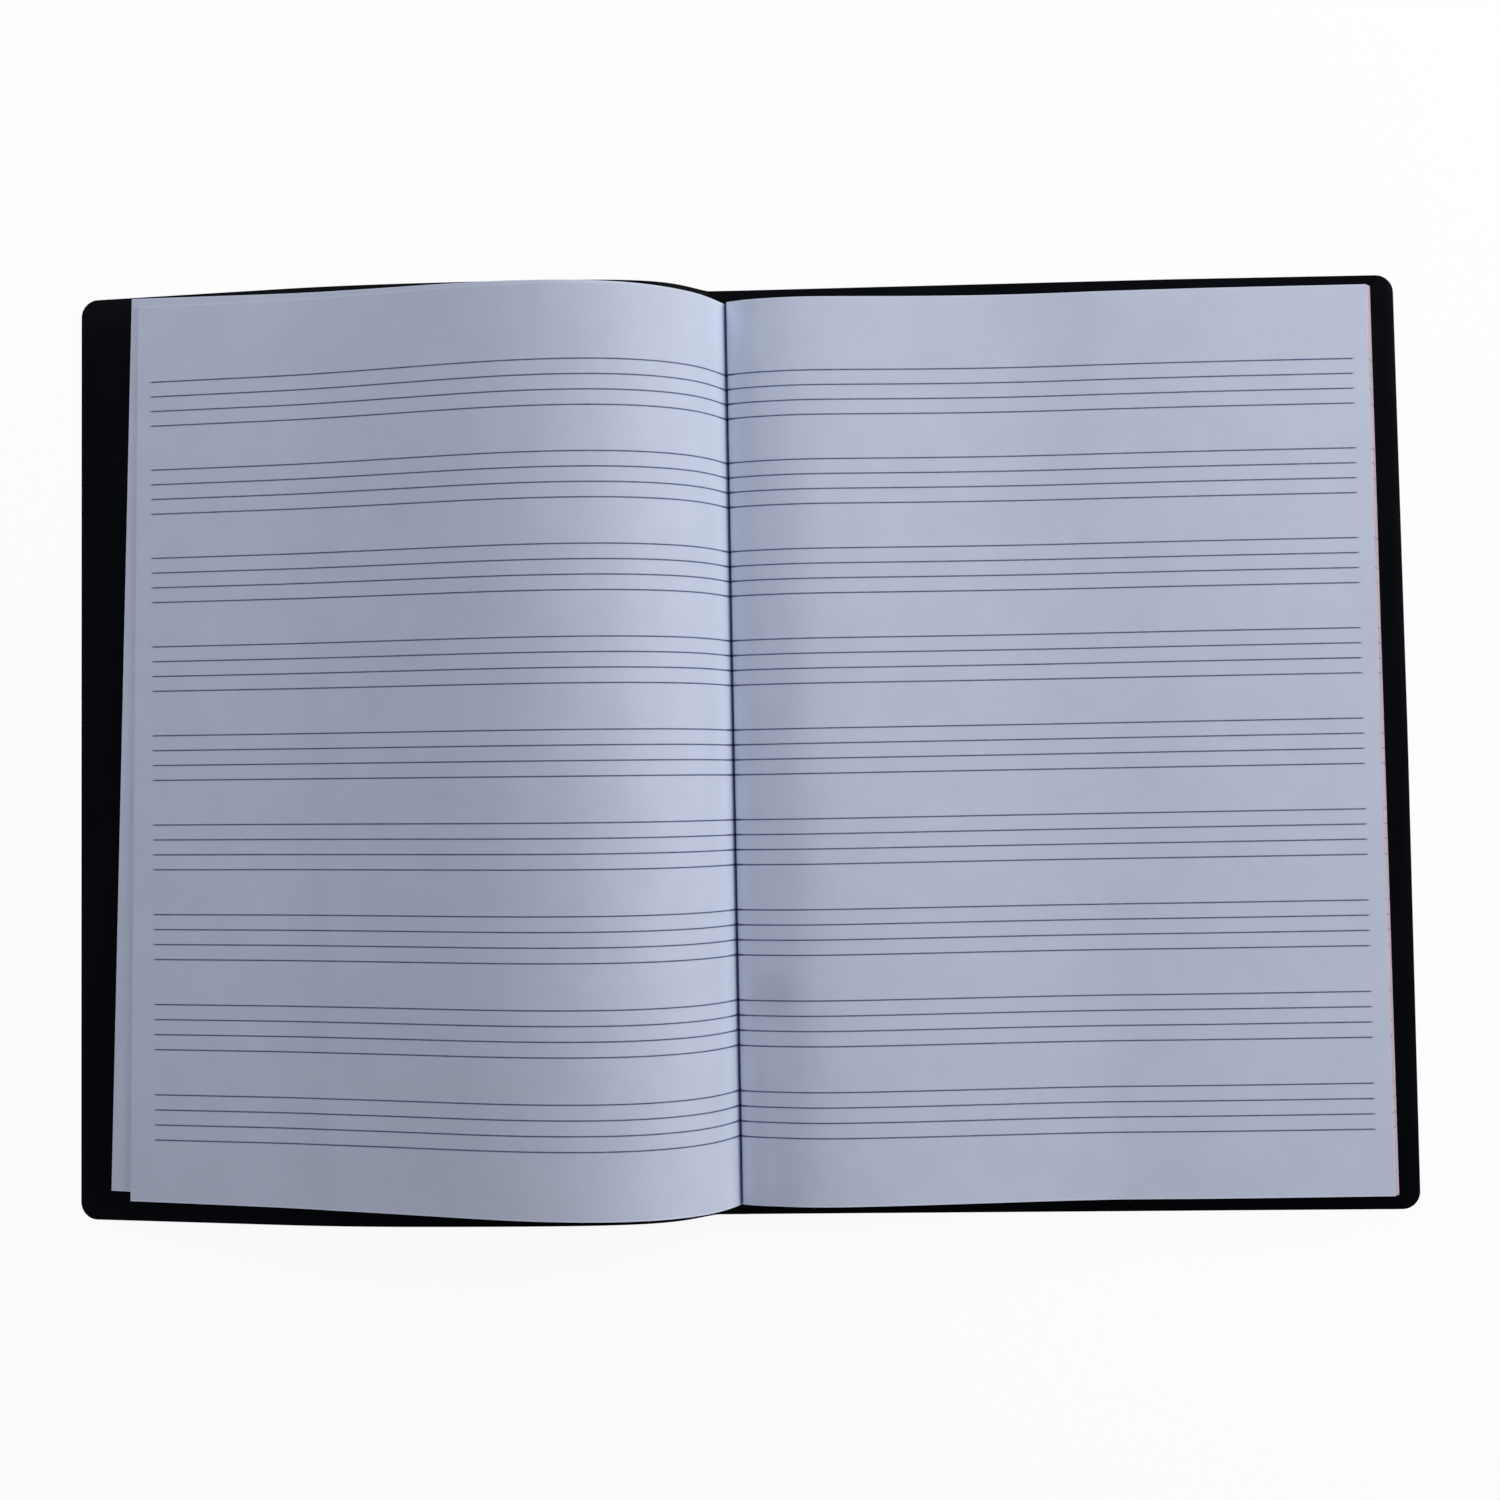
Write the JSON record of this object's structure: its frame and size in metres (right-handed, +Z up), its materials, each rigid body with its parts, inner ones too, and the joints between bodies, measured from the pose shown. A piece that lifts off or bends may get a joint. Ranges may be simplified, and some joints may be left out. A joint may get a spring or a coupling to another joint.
{
  "type": "open composition notebook",
  "caption": "Thin exercise book with a black plastic cover, lying open with its left sheets sprung up in an arch.",
  "frame": {"origin": "on the table under the middle of the spine, in the middle of the book's height", "axes": "+X across the spread from the front cover to the back cover, +Y up the pages, +Z up from the table"},
  "size_m": [0.3558, 0.248, 0.0347],
  "materials": {
    "cover": "soft sheen, fine grained black polypropylene sheet",
    "sheets": "uncoated white writing paper, ruled in slate blue"
  },
  "bodies": {
    "back_half": {"back_cover": "cover", "spine": "cover", "right_pages": "sheets"},
    "front_half": {"front_cover": "cover", "left_pages": "sheets"}
  },
  "joints": [
    {"name": "cover_hinge", "type": "hinge", "parent": "back_half", "child": "front_half", "pos_m": [0, 0, 0.0064], "axis": [0, 1, 0], "range_deg": [0, 180], "deforming": ["left_pages", "front_cover"]}
  ]
}
